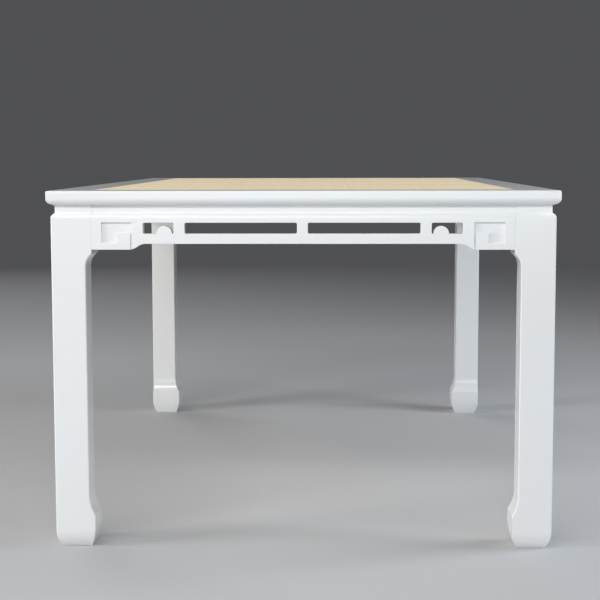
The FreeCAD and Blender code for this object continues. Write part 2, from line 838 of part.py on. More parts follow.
def batten(name, y, relief, holes):
    """A batten under the panel, relieved over the runners that only pass below it."""
    blank = box(f"{name}_blank", about(BATTEN_HALF), y, (BATTEN_BOTTOM, PANEL_SEAT))
    z = (f"{BATTEN_BOTTOM} - batten_relief", f"{BATTEN_BOTTOM} + batten_relief")
    reach = (f"{y[0]} - batten_relief", f"{y[1]} + batten_relief")
    left = box(f"{name}_relief", (f"-({relief[1]})", f"-({relief[0]})"), reach, z)
    right = mirrored(f"{name}_other_relief", left, LEFT_TO_RIGHT)
    return cut(name, blank, [left, right] + holes)


def runner(name, x, groove, holes):
    """A grooved runner that is screwed to the battens of one half, left of the middle."""
    end = "runner_length / 2"
    blank = box(f"{name}_blank", x, about(end), (RUNNER_BOTTOM, BATTEN_BOTTOM))
    slot = box(
        f"{name}_groove", groove, about(f"{end} + runner_tail"),
        (f"{RUNNER_MIDDLE} - {GROOVE_HALF}", f"{RUNNER_MIDDLE} + {GROOVE_HALF}"),
    )
    return cut(name, blank, [slot] + holes)


def middle_runner(holes):
    """The left middle runner: a web with a tongue to either side, each cut short to meet its stop."""
    end = "runner_length / 2"
    tongue_end = f"({end} - stop_length - slide_travel / 2 - slide_clear)"
    z = (f"{RUNNER_MIDDLE} - tongue_height / 2", f"{RUNNER_MIDDLE} + tongue_height / 2")
    web = box("web", (f"-{WEB_OUTER}", f"-{WEB_INNER}"), about(end), (TIE_TOP, BATTEN_BOTTOM))
    outer = box(
        "outer_tongue", (f"-{WEB_OUTER} - tongue_depth", f"-{WEB_OUTER}"), (f"-{end}", tongue_end), z
    )
    inner = box(
        "inner_tongue", (f"-{WEB_INNER}", f"-{WEB_INNER} + tongue_depth"), (f"-{tongue_end}", end), z
    )
    return cut("middle_runner", fuse("middle_runner_blank", [web, outer, inner]), holes)


def seam_pin(name, x, clear=None):
    """A pin that lines the halves up at the seam, or, with room, its hole through both battens."""
    z = f"{PANEL_SEAT} - batten_thick / 2"
    start = (x, f"-{SEAM} - pin_seat", z)
    shank = f"{SEAM} + pin_seat + pin_reach"
    if clear:
        return rod(name, start, "y", f"pin_radius + {clear}", f"{shank} + 2 * pin_tip")
    body = rod(f"{name}_shank", start, "y", "pin_radius", shank)
    tip = cone(f"{name}_tip", (x, "pin_reach", z), "y", "pin_radius", "pin_radius / 2", "pin_tip")
    return fuse(name, [body, tip])


# Table locks

def lock_plate(name, y, holes):
    """A steel plate under a seam batten, left of the middle, centred at y."""
    half = "lock_plate_length / 2"
    x = (f"-{LOCK_X} - lock_plate_width / 2", f"-{LOCK_X} + lock_plate_width / 2")
    blank = box(f"{name}_blank", x, (f"{y} - {half}", f"{y} + {half}"), (LOCK_PLATE_BOTTOM, BATTEN_BOTTOM))
    return cut(name, blank, holes)


def hanging(name, y, top, radius, height):
    """A round stud that hangs from a height at the left lock."""
    return rod(name, (f"-{LOCK_X}", y, f"{top} - ({height})"), "z", radius, height)


def lock_base(holes):
    """The lock's plate with the riveted pivot that carries the lever."""
    y = f"-{LOCK_PIVOT_Y}"
    stem = "lock_collar_height + lock_lever_thick + 2 * lock_clear"
    return fuse("lock_base", [
        lock_plate("lock_plate", y, holes),
        hanging("lock_collar", y, LOCK_PLATE_BOTTOM, "lock_collar_radius", "lock_collar_height"),
        hanging("lock_pivot", y, LOCK_PLATE_BOTTOM, "lock_pivot_radius", stem),
        hanging(
            "lock_pivot_cap", y, f"({LOCK_PLATE_BOTTOM} - ({stem}))",
            "lock_pivot_head", "lock_pivot_head_height",
        ),
    ])


def lock_keeper(holes):
    """The keeper's plate with the stud that the lever hooks."""
    stud = "lock_collar_height + lock_lever_thick + 2 * lock_clear + lock_pivot_head_height / 2"
    return fuse("lock_keeper", [
        lock_plate("keeper_plate", LOCK_PIVOT_Y, holes),
        hanging("keeper_stud", LOCK_STUD_Y, LOCK_PLATE_BOTTOM, "lock_stud_radius", stud),
    ])


def sector(name, radius, first, span, z, height):
    """A slice of a disc about the left lock's pivot, from one angle through another."""
    item = bind(add("Part::Cylinder", name), Radius=radius, Angle=span, Height=height)
    turn = Rotation(Vector(0, 0, 1), size(first))
    return place(item, f"-{LOCK_X}", f"-{LOCK_PIVOT_Y}", z, turn)


def lock_lever():
    """The left lock's lever, open: a hooked slice of plate with a hub and a finger knob."""
    z = LOCK_LEVER_BOTTOM
    thick = "lock_lever_thick"
    plate = sector("lever_plate", "lock_lever_radius", "lock_lever_start", "lock_lever_span", z, thick)
    hub = sector("lever_hub", "lock_hub_radius", "lock_lever_start", "360", z, thick)
    knob_x = f"-{LOCK_X} + lock_throw * cos(lock_knob_angle * 1 deg)"
    knob_y = f"-{LOCK_PIVOT_Y} + lock_throw * sin(lock_knob_angle * 1 deg)"
    knob = rod(
        "lever_knob", (knob_x, knob_y, f"{z} - lock_knob_height"), "z",
        "lock_knob_radius", "lock_knob_height + lock_lever_thick",
    )
    bore = sector("lever_bore", "lock_pivot_radius + lock_clear", "lock_lever_start", "360", z, thick)
    hook_first = "lock_lever_start + lock_lever_span - lock_hook_span"
    slot_half = "lock_stud_radius + lock_clear"
    hook_span = "2 * lock_hook_span"
    hook_outer = sector("lever_hook_outer", f"lock_throw + {slot_half}", hook_first, hook_span, z, thick)
    hook_inner = sector("lever_hook_inner", f"lock_throw - ({slot_half})", hook_first, hook_span, z, thick)
    hook = cut("lever_hook", hook_outer, [hook_inner])
    return cut("lock_lever", fuse("lever_blank", [plate, hub, knob]), [bore, hook])


# Assembly of the pieces that both halves share, made at the front left and mirrored

LAG_SEAT = (
    f"-{APRON_BACK_X} + {BLOCK_INNER} / 2",
    f"-{APRON_BACK_Y} + {BLOCK_INNER} / 2",
    f"{BLOCK_TOP} - block_height / 2",
)
CLEAT_START = f"({BLOCK_INNER} - leg_block + apron_thick + cleat_gap)"

end_dowel_holes = corner_dowels("end_dowel_hole", "x", "dowel_clear")
side_dowel_holes = corner_dowels("side_dowel_hole", "y", "dowel_clear")
lag_hole = lag_shank("lag_hole", "screw_clear")
right_dowel_holes = [mirrored(f"{hole.Name}_right", hole, LEFT_TO_RIGHT) for hole in end_dowel_holes]
dowel_set = group("dowel_set", corner_dowels("end_dowel", "x") + corner_dowels("side_dowel", "y"))

panel_x = about(PANEL_HALF)
panel_y = (f"-{PANEL_END}", f"-{SEAM}")
one_of_each = {
    "end_rail": end_rail(),
    "core_panel": box("core_panel", panel_x, panel_y, (PANEL_SEAT, "table_height - raffia_thick")),
    "raffia": box("raffia", panel_x, panel_y, ("table_height - raffia_thick", "table_height")),
    "end_waist": end_waist(),
    "end_apron": end_apron(end_dowel_holes + right_dowel_holes),
    "cleats": cleats(),
    "mitre_splines": both_sides("mitre_splines", spline_block("mitre_spline")),
    "apron_dowels": both_sides("apron_dowels", dowel_set),
    "corner_blocks": both_sides("corner_blocks", corner_block(lag_hole)),
    "lag_screws": both_sides("lag_screws", lag_screw()),
}
left_and_right = {
    "rail": side_rail(),
    "waist": side_waist(),
    "apron": side_apron(side_dowel_holes),
    "leg": leg(end_dowel_holes + side_dowel_holes + [lag_hole]),
}
for label, piece in one_of_each.items():
    sub_part(piece, f"front_{label}")
    sub_part(mirrored(f"{label}_at_rear", piece, FRONT_TO_REAR), f"rear_{label}")
for label, piece in left_and_right.items():
    right = mirrored(f"{label}_at_right", piece, LEFT_TO_RIGHT)
    sub_part(piece, f"front_left_{label}")
    sub_part(right, f"front_right_{label}")
    sub_part(mirrored(f"{label}_at_rear_left", piece, FRONT_TO_REAR), f"rear_left_{label}")
    sub_part(mirrored(f"{label}_at_rear_right", right, FRONT_TO_REAR), f"rear_right_{label}")

# Assembly of the pieces that differ between the halves

pin_spots = [f"{step} * pin_pitch / 2" for step in (-3, -1, 1, 3)]
pin_holes = [seam_pin(f"pin_hole_{number}", x, "pin_clear") for number, x in enumerate(pin_spots)]
pins = group("pins", [seam_pin(f"pin_{number}", x) for number, x in enumerate(pin_spots)])
sub_part(pins, "seam_pins")

outer_face = f"({WEB_OUTER} + slide_clear)"
inner_face = f"({WEB_INNER} - slide_clear)"
solid_width = f"(runner_width - {GROOVE_DEPTH})"
halves = {
    "front": {
        "side": "-1",
        "runner": (f"-({outer_face} + runner_width)", f"-{outer_face}"),
        "groove": (f"-({outer_face} + {GROOVE_DEPTH})", f"-{WEB_OUTER}"),
        "stop_x": (f"-({outer_face} + {GROOVE_DEPTH})", f"-{outer_face}"),
        "stop_y": ("runner_length / 2 - stop_length", "runner_length / 2"),
        "screw_x": f"({outer_face} + {GROOVE_DEPTH} + {solid_width} / 2)",
        "relief": (f"{inner_face} - runner_width - batten_relief", outer_face),
    },
    "rear": {
        "side": "1",
        "runner": (f"-{inner_face}", f"-({inner_face} - runner_width)"),
        "groove": (f"-{WEB_INNER}", f"-({inner_face} - {GROOVE_DEPTH})"),
        "stop_x": (f"-{inner_face}", f"-({inner_face} - {GROOVE_DEPTH})"),
        "stop_y": ("-runner_length / 2", "stop_length - runner_length / 2"),
        "screw_x": f"({inner_face} - {GROOVE_DEPTH} - {solid_width} / 2)",
        "relief": (inner_face, f"{outer_face} + runner_width + batten_relief"),
    },
}


def half_hardware(half, plan):
    """The battens, runners and screws of one half."""
    side = plan["side"]
    seam_span = [f"{side} * {SEAM}", f"{side} * ({SEAM} + batten_width)"]
    outer_span = [f"{side} * ({BATTEN_OUTER} - batten_width)", f"{side} * {BATTEN_OUTER}"]
    if half == "front":
        seam_span.reverse()
        outer_span.reverse()
    rows = [f"{side} * ({SEAM} + batten_width / 2)", f"{side} * ({BATTEN_OUTER} - batten_width / 2)"]
    left_spots = [(f"-{plan['screw_x']}", y) for y in rows]
    spots = left_spots + [(plan["screw_x"], y) for y in rows]
    length = "runner_height + screw_bite"
    lock_spots = [
        (f"{x} * {LOCK_X}", f"{side} * {LOCK_PIVOT_Y} + {step} * lock_screw_pitch / 2")
        for x in (-1, 1) for step in (-1, 1)
    ]
    lock_length = "lock_plate_thick + screw_bite"

    runner_holes = screw_holes(f"{half}_runner_screw", spots, RUNNER_BOTTOM, length)
    lock_holes = screw_holes(f"{half}_lock_screw", lock_spots, LOCK_PLATE_BOTTOM, lock_length)
    seam_batten = batten(
        f"{half}_seam_batten_cut", seam_span, plan["relief"], runner_holes + lock_holes + pin_holes
    )
    outer_batten = batten(f"{half}_outer_batten_cut", outer_span, plan["relief"], runner_holes)
    left_runner = runner(f"{half}_runner", plan["runner"], plan["groove"], runner_holes[:2])
    stop = box(
        f"{half}_stop", plan["stop_x"], plan["stop_y"],
        (f"{RUNNER_MIDDLE} - {GROOVE_HALF}", f"{RUNNER_MIDDLE} + {GROOVE_HALF}"),
    )
    sub_part(seam_batten, f"{half}_seam_batten")
    sub_part(outer_batten, f"{half}_outer_batten")
    sub_part(left_runner, f"{half}_left_runner")
    sub_part(mirrored(f"{half}_runner_at_right", left_runner, LEFT_TO_RIGHT), f"{half}_right_runner")
    sub_part(both_sides(f"{half}_stops", stop), f"{half}_runner_stops")
    sub_part(screws(f"{half}_runner_screw_set", spots, RUNNER_BOTTOM, length), f"{half}_runner_screws")
    sub_part(
        screws(f"{half}_lock_screw_set", lock_spots, LOCK_PLATE_BOTTOM, lock_length), f"{half}_lock_screws"
    )
    return lock_holes[:2]


base_holes = half_hardware("front", halves["front"])
keeper_holes = half_hardware("rear", halves["rear"])
sub_part(both_sides("lock_base_pair", lock_base(base_holes)), "lock_bases")
sub_part(both_sides("lock_keeper_pair", lock_keeper(keeper_holes)), "lock_keepers")
left_lever = lock_lever()
sub_part(left_lever, "left_lock_lever")
sub_part(mirrored("lever_at_right", left_lever, LEFT_TO_RIGHT), "right_lock_lever")

tie_bottom = f"{TIE_TOP} - tie_thick"
tie_length = "tie_thick + screw_bite"
tie_spots = [
    (f"{x} * {SLIDE_X}", f"{step} * tie_screw_pitch / 2") for x in (-1, 1) for step in (-1, 1)
]
tie_holes = screw_holes("tie_screw", tie_spots, tie_bottom, tie_length)
tie_board = box("tie_board", about(WEB_OUTER), about("tie_width / 2"), (tie_bottom, TIE_TOP))
left_middle = middle_runner(tie_holes[:2])
sub_part(left_middle, "left_middle_runner")
sub_part(mirrored("middle_at_right", left_middle, LEFT_TO_RIGHT), "right_middle_runner")
sub_part(cut("tie", tie_board, tie_holes), "middle_tie")
sub_part(screws("tie_screw_set", tie_spots, tie_bottom, tie_length), "tie_screws")

doc.recompute()
failed = [item.Name for item in doc.Objects if {"Invalid", "Error"} & set(item.State)]
failed += [item.Label for item in sub_parts if item.Shape.isNull() or not item.Shape.isValid()]
if failed:
    raise SystemExit(f"these objects failed: {', '.join(failed)}")
os.makedirs("parts", exist_ok=True)
for item in sub_parts:
    item.Shape.exportStep(os.path.join("parts", f"{item.Label}.step"))
print(f"{len(sub_parts)} sub-parts written")
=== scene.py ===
import math
import random

import bpy
from mathutils import Matrix, Vector

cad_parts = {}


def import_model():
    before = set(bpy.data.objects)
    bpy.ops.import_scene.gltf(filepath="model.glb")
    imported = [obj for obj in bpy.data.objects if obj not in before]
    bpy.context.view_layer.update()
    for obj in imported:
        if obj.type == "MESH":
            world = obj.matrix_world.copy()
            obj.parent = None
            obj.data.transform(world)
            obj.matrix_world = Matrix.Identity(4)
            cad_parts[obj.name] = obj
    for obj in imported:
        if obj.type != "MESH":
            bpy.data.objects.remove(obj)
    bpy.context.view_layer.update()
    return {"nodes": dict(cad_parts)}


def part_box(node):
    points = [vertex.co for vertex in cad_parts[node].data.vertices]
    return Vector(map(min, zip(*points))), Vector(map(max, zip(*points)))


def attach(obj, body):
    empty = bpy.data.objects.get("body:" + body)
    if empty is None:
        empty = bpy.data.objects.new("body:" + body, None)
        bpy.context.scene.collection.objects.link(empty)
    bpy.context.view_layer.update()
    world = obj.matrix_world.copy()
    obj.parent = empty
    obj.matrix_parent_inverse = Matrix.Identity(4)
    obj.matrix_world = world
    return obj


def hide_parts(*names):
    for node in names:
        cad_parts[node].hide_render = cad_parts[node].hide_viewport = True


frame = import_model()

HALVES = ("front", "rear")
SIDES = ("left", "right")
MILLIMETRE = 0.001

# The camera, fitted to the photograph's 600 x 600 frame
CAMERA_PLACE = (0.0735, -3.7409, 0.8217)
CAMERA_YAW = 0.0270  # radians, to the left of +Y
CAMERA_PITCH = 0.1016  # radians, down from the horizon
CAMERA_ROLL = -0.0017
CAMERA_LENS = 85.1  # mm on the default 36 mm sensor

# The studio
BACKDROP = (0.080, 0.081, 0.084)
FLOOR_COLOUR = (0.54, 0.54, 0.545)
FLOOR_ROUGHNESS = 0.9
FLOOR_GLOSS = 0.1
FLOOR_SIZE = 60.0
FLOOR_FADES = (2.2, 7.0)  # metres from the table over which the floor turns into the backdrop
AMBIENT = (0.075, 0.079, 0.085)
LAMP_TARGET = (0.0, 0.0, 0.5)

# Each lamp's place, width, height, watts and colour
LAMPS = {
    "key": ((-1.1, -3.4, 2.7), 3.4, 0.4, 70.0, (1.0, 0.99, 0.97)),
    "front": ((0.6, -13.5, 1.7), 6.0, 3.2, 180.0, (0.88, 0.94, 1.0)),
    "left": ((-5.5, -2.2, 1.7), 1.9, 2.8, 188.0, (1.0, 0.99, 0.97)),
    "fill": ((4.2, -4.7, 3.2), 3.0, 3.0, 46.0, (0.62, 0.81, 1.0)),
    "right": ((3.2, -0.5, 2.2), 1.8, 1.8, 80.0, (0.87, 0.935, 1.0)),
    "rear": ((-5.0, 6.0, 3.0), 5.0, 3.6, 185.0, (1.0, 1.0, 1.0)),
}

# How far a rounded normal turns from the face's own, off an edge and on one
EDGE_FACING = (0.995, 0.80)
# How much of the sky a point sees where a recess begins and where it is deepest
RECESS_SEEN = (0.60, 0.10)

# The lacquer
LACQUER_TONES = ((0.880, 0.886, 0.887), (0.886, 0.889, 0.885))
LACQUER_ROUGHNESS = (0.13, 0.15)
LACQUER_IOR = 1.5
LACQUER_RELIEF = 0.02 * MILLIMETRE
RUBBED_COLOUR = (0.66, 0.62, 0.55)
RUBBED_SHARE = 0.35
RUBBED_REACH = 1.0 * MILLIMETRE
# Painted shade with some dust: the lacquer is greyed in its joints, corners and frets
DUST_AND_SHADE_COLOUR = (0.36, 0.35, 0.34)
DUST_AND_SHADE_SHARE = 0.50
DUST_AND_SHADE_REACH = 4.0 * MILLIMETRE
DULLED_ROUGHNESS = 0.2  # added where it is rubbed, and in the recesses that carry dust and painted shade

# The bare woods
MAPLE = {"pale": (0.72, 0.55, 0.36), "dark": (0.54, 0.37, 0.21), "figure": 26.0}
BIRCH = {"pale": (0.78, 0.64, 0.45), "dark": (0.62, 0.46, 0.28), "figure": 60.0}
PLYWOOD = {"pale": (0.68, 0.52, 0.35), "dark": (0.47, 0.32, 0.19), "figure": 9.0}
STREAK_SHARE = 0.5  # of the fine streaks in the tone, the rest being the broad figure
PORE_DARKNESS = 0.55  # of the dark grain's colour
PORE_SHARE = 0.5
# Painted shade in the bare wood's recesses
WOOD_RECESS_SHADE_COLOUR = (0.20, 0.16, 0.12)
WOOD_RECESS_SHADE_SHARE = 0.35
WOOD_RECESS_SHADE_REACH = 12.0 * MILLIMETRE
WOOD_ROUGHNESS = (0.50, 0.68)
WOOD_RELIEF = 0.10 * MILLIMETRE

# The zinc plated steel
ZINC_TONES = ((0.54, 0.55, 0.56), (0.68, 0.69, 0.70))
ZINC_AGED_COLOUR = (0.55, 0.50, 0.38)
ZINC_AGED_SHARE = 0.35
# Painted shade in the steel's recesses
ZINC_RECESS_SHADE_COLOUR = (0.14, 0.13, 0.12)
ZINC_RECESS_SHADE_SHARE = 0.6
ZINC_RECESS_SHADE_REACH = 3.0 * MILLIMETRE
ZINC_ROUGHNESS = (0.28, 0.46)
ZINC_RELIEF = 0.03 * MILLIMETRE

# The raffia cloth's weave
STRAND_WIDTH = 4.8 * MILLIMETRE
STRAND_UNEVEN = 0.35  # of a strand's width
STRAND_LENGTH = 0.42  # usual way between two splices
STRAND_LENGTHS = (0.4, 1.6)  # least and most, of the usual way
STRAND_SHOULDERS = (0.28, 0.72)  # where a strand's flat back begins and ends
STRIP_TONE = (0.5, 0.20)  # mean and spread of a leaf strip's tone
STRIP_THINNING = 0.20 * MILLIMETRE  # of a leaf strip, at most
THREAD_PITCH = 16.0 * MILLIMETRE
THREAD_WIDTH = 0.9 * MILLIMETRE
GROOVE_DEPTH = 0.75 * MILLIMETRE
GROOVE_AT_THREAD = 0.40 * MILLIMETRE
# Painted shade in the groove between two strands: its strand tone, and how much shade stays where a thread
# crosses it
GROOVE_SHADE_TONE = 0.3
GROOVE_SHADE_AT_THREAD = 0.3
PRESSED_DEPTH = 0.35 * MILLIMETRE  # of a strand beside a thread that passes over it
RAISED_DEPTH = 0.12 * MILLIMETRE  # of a strand beside a thread that passes under it
RAISED_AT_THREAD = 0.05 * MILLIMETRE

# The raffia cloth's look
RAFFIA_TONES = ((0.53, 0.39, 0.21), (0.80, 0.69, 0.50))
STRAND_TONE_SHARE = 0.55
FIBRE_TONE_SHARE = 0.30
BLOTCH_TONE_SHARE = 0.15
FLECK_COLOUR = (0.36, 0.22, 0.10)
FLECK_SHARE = 0.40
THREAD_COLOUR = (0.82, 0.72, 0.55)
THREAD_SHARE = 0.85
# Painted shade in the grooves between strands
GROOVE_SHADE_COLOUR = (0.27, 0.17, 0.08)
GROOVE_SHADE_SHARE = 0.60
RAFFIA_ROUGHNESS = (0.55, 0.72)
RAFFIA_RELIEF = 0.10 * MILLIMETRE


class Finish:
    """A material's node tree, with a short call for each kind of node."""

    def __init__(self, name):
        self.material = bpy.data.materials.new(name)
        self.material.use_nodes = True
        self.tree = self.material.node_tree
        self.shader = self.tree.nodes["Principled BSDF"]

    def feed(self, socket, value):
        """Links a socket to another node's output, or sets it to a plain value."""
        if isinstance(value, bpy.types.NodeSocket):
            self.tree.links.new(value, socket)
        elif isinstance(value, tuple) and socket.type == "RGBA":
            socket.default_value = (*value, 1.0)
        else:
            socket.default_value = value

    def add(self, kind, inputs, **settings):
        made = self.tree.nodes.new("ShaderNode" + kind)
        for name, value in settings.items():
            setattr(made, name, value)
        for key, value in inputs.items():
            self.feed(made.inputs[key], value)
        return made

    def surface(self, **inputs):
        for name, value in inputs.items():
            socket = name.replace("_", " ").title().replace("Ior", "IOR")
            self.feed(self.shader.inputs[socket], value)

    def place(self, stretch=(1.0, 1.0, 1.0)):
        """A point's place in the table's own frame, with each axis drawn out."""
        spot = self.add("TexCoord", {}).outputs["Object"]
        return self.add("VectorMath", {0: spot, 1: stretch}, operation="MULTIPLY").outputs[0]

    def noise(self, place, scale=1.0, detail=2.0, rough=0.5, twist=0.0):
        inputs = {"Vector": place, "Scale": scale, "Detail": detail, "Roughness": rough, "Distortion": twist}
        return self.add("TexNoise", inputs).outputs["Fac"]

    def attribute(self, name):
        return self.add("Attribute", {}, attribute_name=name).outputs["Fac"]

    def math(self, operation, first, second):
        return self.add("Math", {0: first, 1: second}, operation=operation).outputs[0]

    def between(self, value, start, end, low=0.0, high=1.0):
        """Low where the value is at start, high where it is at end."""
        inputs = {"Value": value, "From Min": start, "From Max": end, "To Min": low, "To Max": high}
        return self.add("MapRange", inputs).outputs["Result"]

    def total(self, *parts):
        """The sum of values, each times its share."""
        weighed = [self.math("MULTIPLY", value, share) for value, share in parts]
        whole = weighed[0]
        for part in weighed[1:]:
            whole = self.math("ADD", whole, part)
        return whole

    def mix(self, share, first, second):
        """The second colour where share is 1."""
        return self.add("Mix", {0: share, 6: first, 7: second}, data_type="RGBA").outputs[2]

    def tint(self, colour, mask, share, other):
        """The colour, with a share of the other one where the mask is 1."""
        return self.mix(self.math("MULTIPLY", mask, share), colour, other)

    def bump(self, height, depth, strength=1.0, under=None):
        inputs = {"Height": height, "Distance": depth, "Strength": strength}
        if under is not None:
            inputs["Normal"] = under
        return self.add("Bump", inputs).outputs["Normal"]

    def sharp_edges(self, reach):
        """About 1 on an edge that stands out or in, and 0 away from one."""
        rounded = self.add("Bevel", {"Radius": reach}, samples=6).outputs["Normal"]
        straight = self.add("NewGeometry", {}).outputs["Normal"]
        facing = self.add("VectorMath", {0: rounded, 1: straight}, operation="DOT_PRODUCT").outputs["Value"]
        return self.between(facing, *EDGE_FACING)

    def recesses(self, reach):
        """1 deep in a corner or a groove, and 0 in the open: the mask for painted shade."""
        seen = self.add("AmbientOcclusion", {"Distance": reach}, samples=8).outputs["AO"]
        return self.between(seen, *RECESS_SEEN)


def along(axis, stretched, across):
    """The stretch of a pattern that runs along one axis."""
    return tuple(stretched if name == axis else across for name in "xyz")


def lacquer(axis):
    """White satin lacquer, sprayed on a close-grained wood whose grain runs along the axis."""
    finish = Finish(f"lacquer_{axis}")
    place = finish.place()
    cloudy = finish.between(finish.noise(place, 3.0), 0.3, 0.7)
    colour = finish.mix(cloudy, *LACQUER_TONES)

    # Handling rubs the edges warm and dull, unevenly along their length
    patchy = finish.between(finish.noise(place, 60.0, detail=4.0, rough=0.6), 0.45, 0.70)
    worn = finish.math("MULTIPLY", finish.sharp_edges(RUBBED_REACH), patchy)
    colour = finish.tint(colour, worn, RUBBED_SHARE, RUBBED_COLOUR)

    # Painted shade, patchy like dust, darkens the joints and the corners of the frets
    dust_and_shade_patches = finish.between(finish.noise(place, 120.0), 0.25, 0.75, 0.65, 1.0)
    dust_and_shade = finish.math("MULTIPLY", finish.recesses(DUST_AND_SHADE_REACH), dust_and_shade_patches)
    colour = finish.tint(colour, dust_and_shade, DUST_AND_SHADE_SHARE, DUST_AND_SHADE_COLOUR)

    smooth = finish.between(finish.noise(place, 9.0, detail=3.0), 0.3, 0.7, *LACQUER_ROUGHNESS)
    dulled = finish.math("MULTIPLY", finish.math("ADD", worn, dust_and_shade), DULLED_ROUGHNESS)
    grain = finish.noise(finish.place(along(axis, 6.0, 420.0)), detail=3.0, twist=0.4)
    sprayed = finish.noise(place, 450.0, detail=1.0)
    relief = finish.bump(grain, LACQUER_RELIEF, strength=0.3)
    finish.surface(
        base_color=colour,
        roughness=finish.math("ADD", smooth, dulled),
        ior=LACQUER_IOR,
        normal=finish.bump(sprayed, LACQUER_RELIEF, strength=0.2, under=relief),
    )
    return finish.material


def bare_wood(name, axis, pale, dark, figure):
    """Unfinished wood: broad figure, fine streaks along the grain, short dark pores and painted shade in its
    recesses.
    """
    finish = Finish(name)
    broad = finish.noise(finish.place(along(axis, 0.8, figure)), detail=4.0, rough=0.55, twist=0.9)
    bands = finish.between(broad, 0.32, 0.68)
    fine = finish.noise(finish.place(along(axis, 9.0, 700.0)), detail=3.0)
    pores = finish.between(finish.noise(finish.place(along(axis, 45.0, 1100.0))), 0.60, 0.72)
    tone = finish.total((bands, 1.0 - STREAK_SHARE), (fine, STREAK_SHARE))
    colour = finish.mix(tone, pale, dark)
    pore_colour = tuple(PORE_DARKNESS * part for part in dark)
    colour = finish.tint(colour, pores, PORE_SHARE, pore_colour)
    # Painted shade: the wood is darker in its recesses
    recess_shade = finish.between(finish.recesses(WOOD_RECESS_SHADE_REACH), 0.0, 1.0, 0.0, WOOD_RECESS_SHADE_SHARE)
    colour = finish.mix(recess_shade, colour, WOOD_RECESS_SHADE_COLOUR)
    relief = finish.math("SUBTRACT", fine, pores)
    finish.surface(
        base_color=colour,
        roughness=finish.between(fine, 0.2, 0.8, *WOOD_ROUGHNESS),
        normal=finish.bump(relief, WOOD_RELIEF, strength=0.5),
    )
    return finish.material


def zinc_steel():
    """Zinc plated steel with the cloudy spangle, the dull yellow of age and painted shade in its recesses."""
    finish = Finish("zinc_steel")
    place = finish.place()
    spangle = finish.noise(place, 320.0, detail=4.0, rough=0.6)
    aged = finish.between(finish.noise(place, 60.0, detail=3.0), 0.45, 0.75)
    colour = finish.mix(finish.between(spangle, 0.3, 0.7), *ZINC_TONES)
    colour = finish.tint(colour, aged, ZINC_AGED_SHARE, ZINC_AGED_COLOUR)
    # Painted shade: the steel is darker in its recesses
    colour = finish.tint(colour, finish.recesses(ZINC_RECESS_SHADE_REACH), ZINC_RECESS_SHADE_SHARE, ZINC_RECESS_SHADE_COLOUR)
    finish.surface(
        base_color=colour,
        metallic=1.0,
        roughness=finish.between(spangle, 0.25, 0.75, *ZINC_ROUGHNESS),
        normal=finish.bump(spangle, ZINC_RELIEF, strength=0.5),
    )
    return finish.material


def raffia_cloth():
    """Honey and straw coloured raffia strands with pale binding threads, dry and fibrous, with painted shade
    in the grooves between strands.
    """
    finish = Finish("raffia_cloth")
    tone = finish.attribute("strand_tone")
    streaks = finish.noise(finish.place((9.0, 1400.0, 1.0)), detail=4.0, rough=0.6)
    blotches = finish.noise(finish.place((7.0, 18.0, 1.0)), detail=3.0)
    flecks = finish.between(finish.noise(finish.place((60.0, 900.0, 1.0))), 0.66, 0.76)
    shade = finish.total(
        (tone, STRAND_TONE_SHARE), (streaks, FIBRE_TONE_SHARE), (blotches, BLOTCH_TONE_SHARE),
    )
    colour = finish.mix(finish.between(shade, 0.22, 0.78), *RAFFIA_TONES)
    colour = finish.tint(colour, flecks, FLECK_SHARE, FLECK_COLOUR)
    colour = finish.tint(colour, finish.attribute("thread"), THREAD_SHARE, THREAD_COLOUR)
    # Painted shade in the grooves between strands
    colour = finish.tint(colour, finish.attribute("groove"), GROOVE_SHADE_SHARE, GROOVE_SHADE_COLOUR)
    fibres = finish.noise(finish.place((20.0, 2600.0, 1.0)))
    finish.surface(
        base_color=colour,
        roughness=finish.between(streaks, 0.2, 0.8, *RAFFIA_ROUGHNESS),
        diffuse_roughness=1.0,
        specular_ior_level=0.25,
        sheen_weight=0.3,
        sheen_roughness=0.45,
        sheen_tint=(0.95, 0.84, 0.62),
        normal=finish.bump(fibres, RAFFIA_RELIEF, strength=0.5),
    )
    return finish.material


def strand_edges(start, end, draw):
    """The edges of uneven strands that fill the way from start to end."""
    count = round((end - start) / STRAND_WIDTH)
    widths = [1.0 + draw.uniform(-STRAND_UNEVEN, STRAND_UNEVEN) for _ in range(count)]
    edges = [start]
    for width in widths:
        edges.append(edges[-1] + width * (end - start) / sum(widths))
    return edges


def thread_columns(start, end):
    """Where each line of points across the strands lies, as (place, thread or None).

    A thread has a line on its back, and one on each flank that belongs to no thread.
    """
    count = round((end - start) / THREAD_PITCH)
    pitch = (end - start) / count
    columns = [(start, None)]
    for thread in range(count):
        middle = start + (thread + 0.5) * pitch
        columns += [(middle - THREAD_WIDTH / 2, None), (middle, thread), (middle + THREAD_WIDTH / 2, None)]
    return columns + [(end, None)]


def leaf_strips(columns, draw):
    """One strand's (tone, thinness) at each column.

    They change where one leaf strip ends and the next begins.
    """
    strips = []
    splice = columns[0][0]
    for place, _ in columns:
        if place >= splice:
            tone = min(1.0, max(0.0, draw.gauss(*STRIP_TONE)))
            strip = (tone, draw.uniform(0.0, STRIP_THINNING))
            splice = place + STRAND_LENGTH * draw.uniform(*STRAND_LENGTHS)
        strips.append(strip)
    return strips


def nearest_thread(column, columns):
    """The thread that a column belongs to: its own, or the one it flanks."""
    nearby = columns[max(0, column - 1):column + 2]
    return next((thread for _, thread in nearby if thread is not None), 0)


def woven_depth(strand, column, columns):
    """How far a strand's back lies below the top of the cloth."""
    thread = columns[column][1]
    over = (strand + nearest_thread(column, columns)) % 2 == 0
    if thread is None:
        return PRESSED_DEPTH if over else RAISED_DEPTH
    return 0.0 if over else RAISED_AT_THREAD


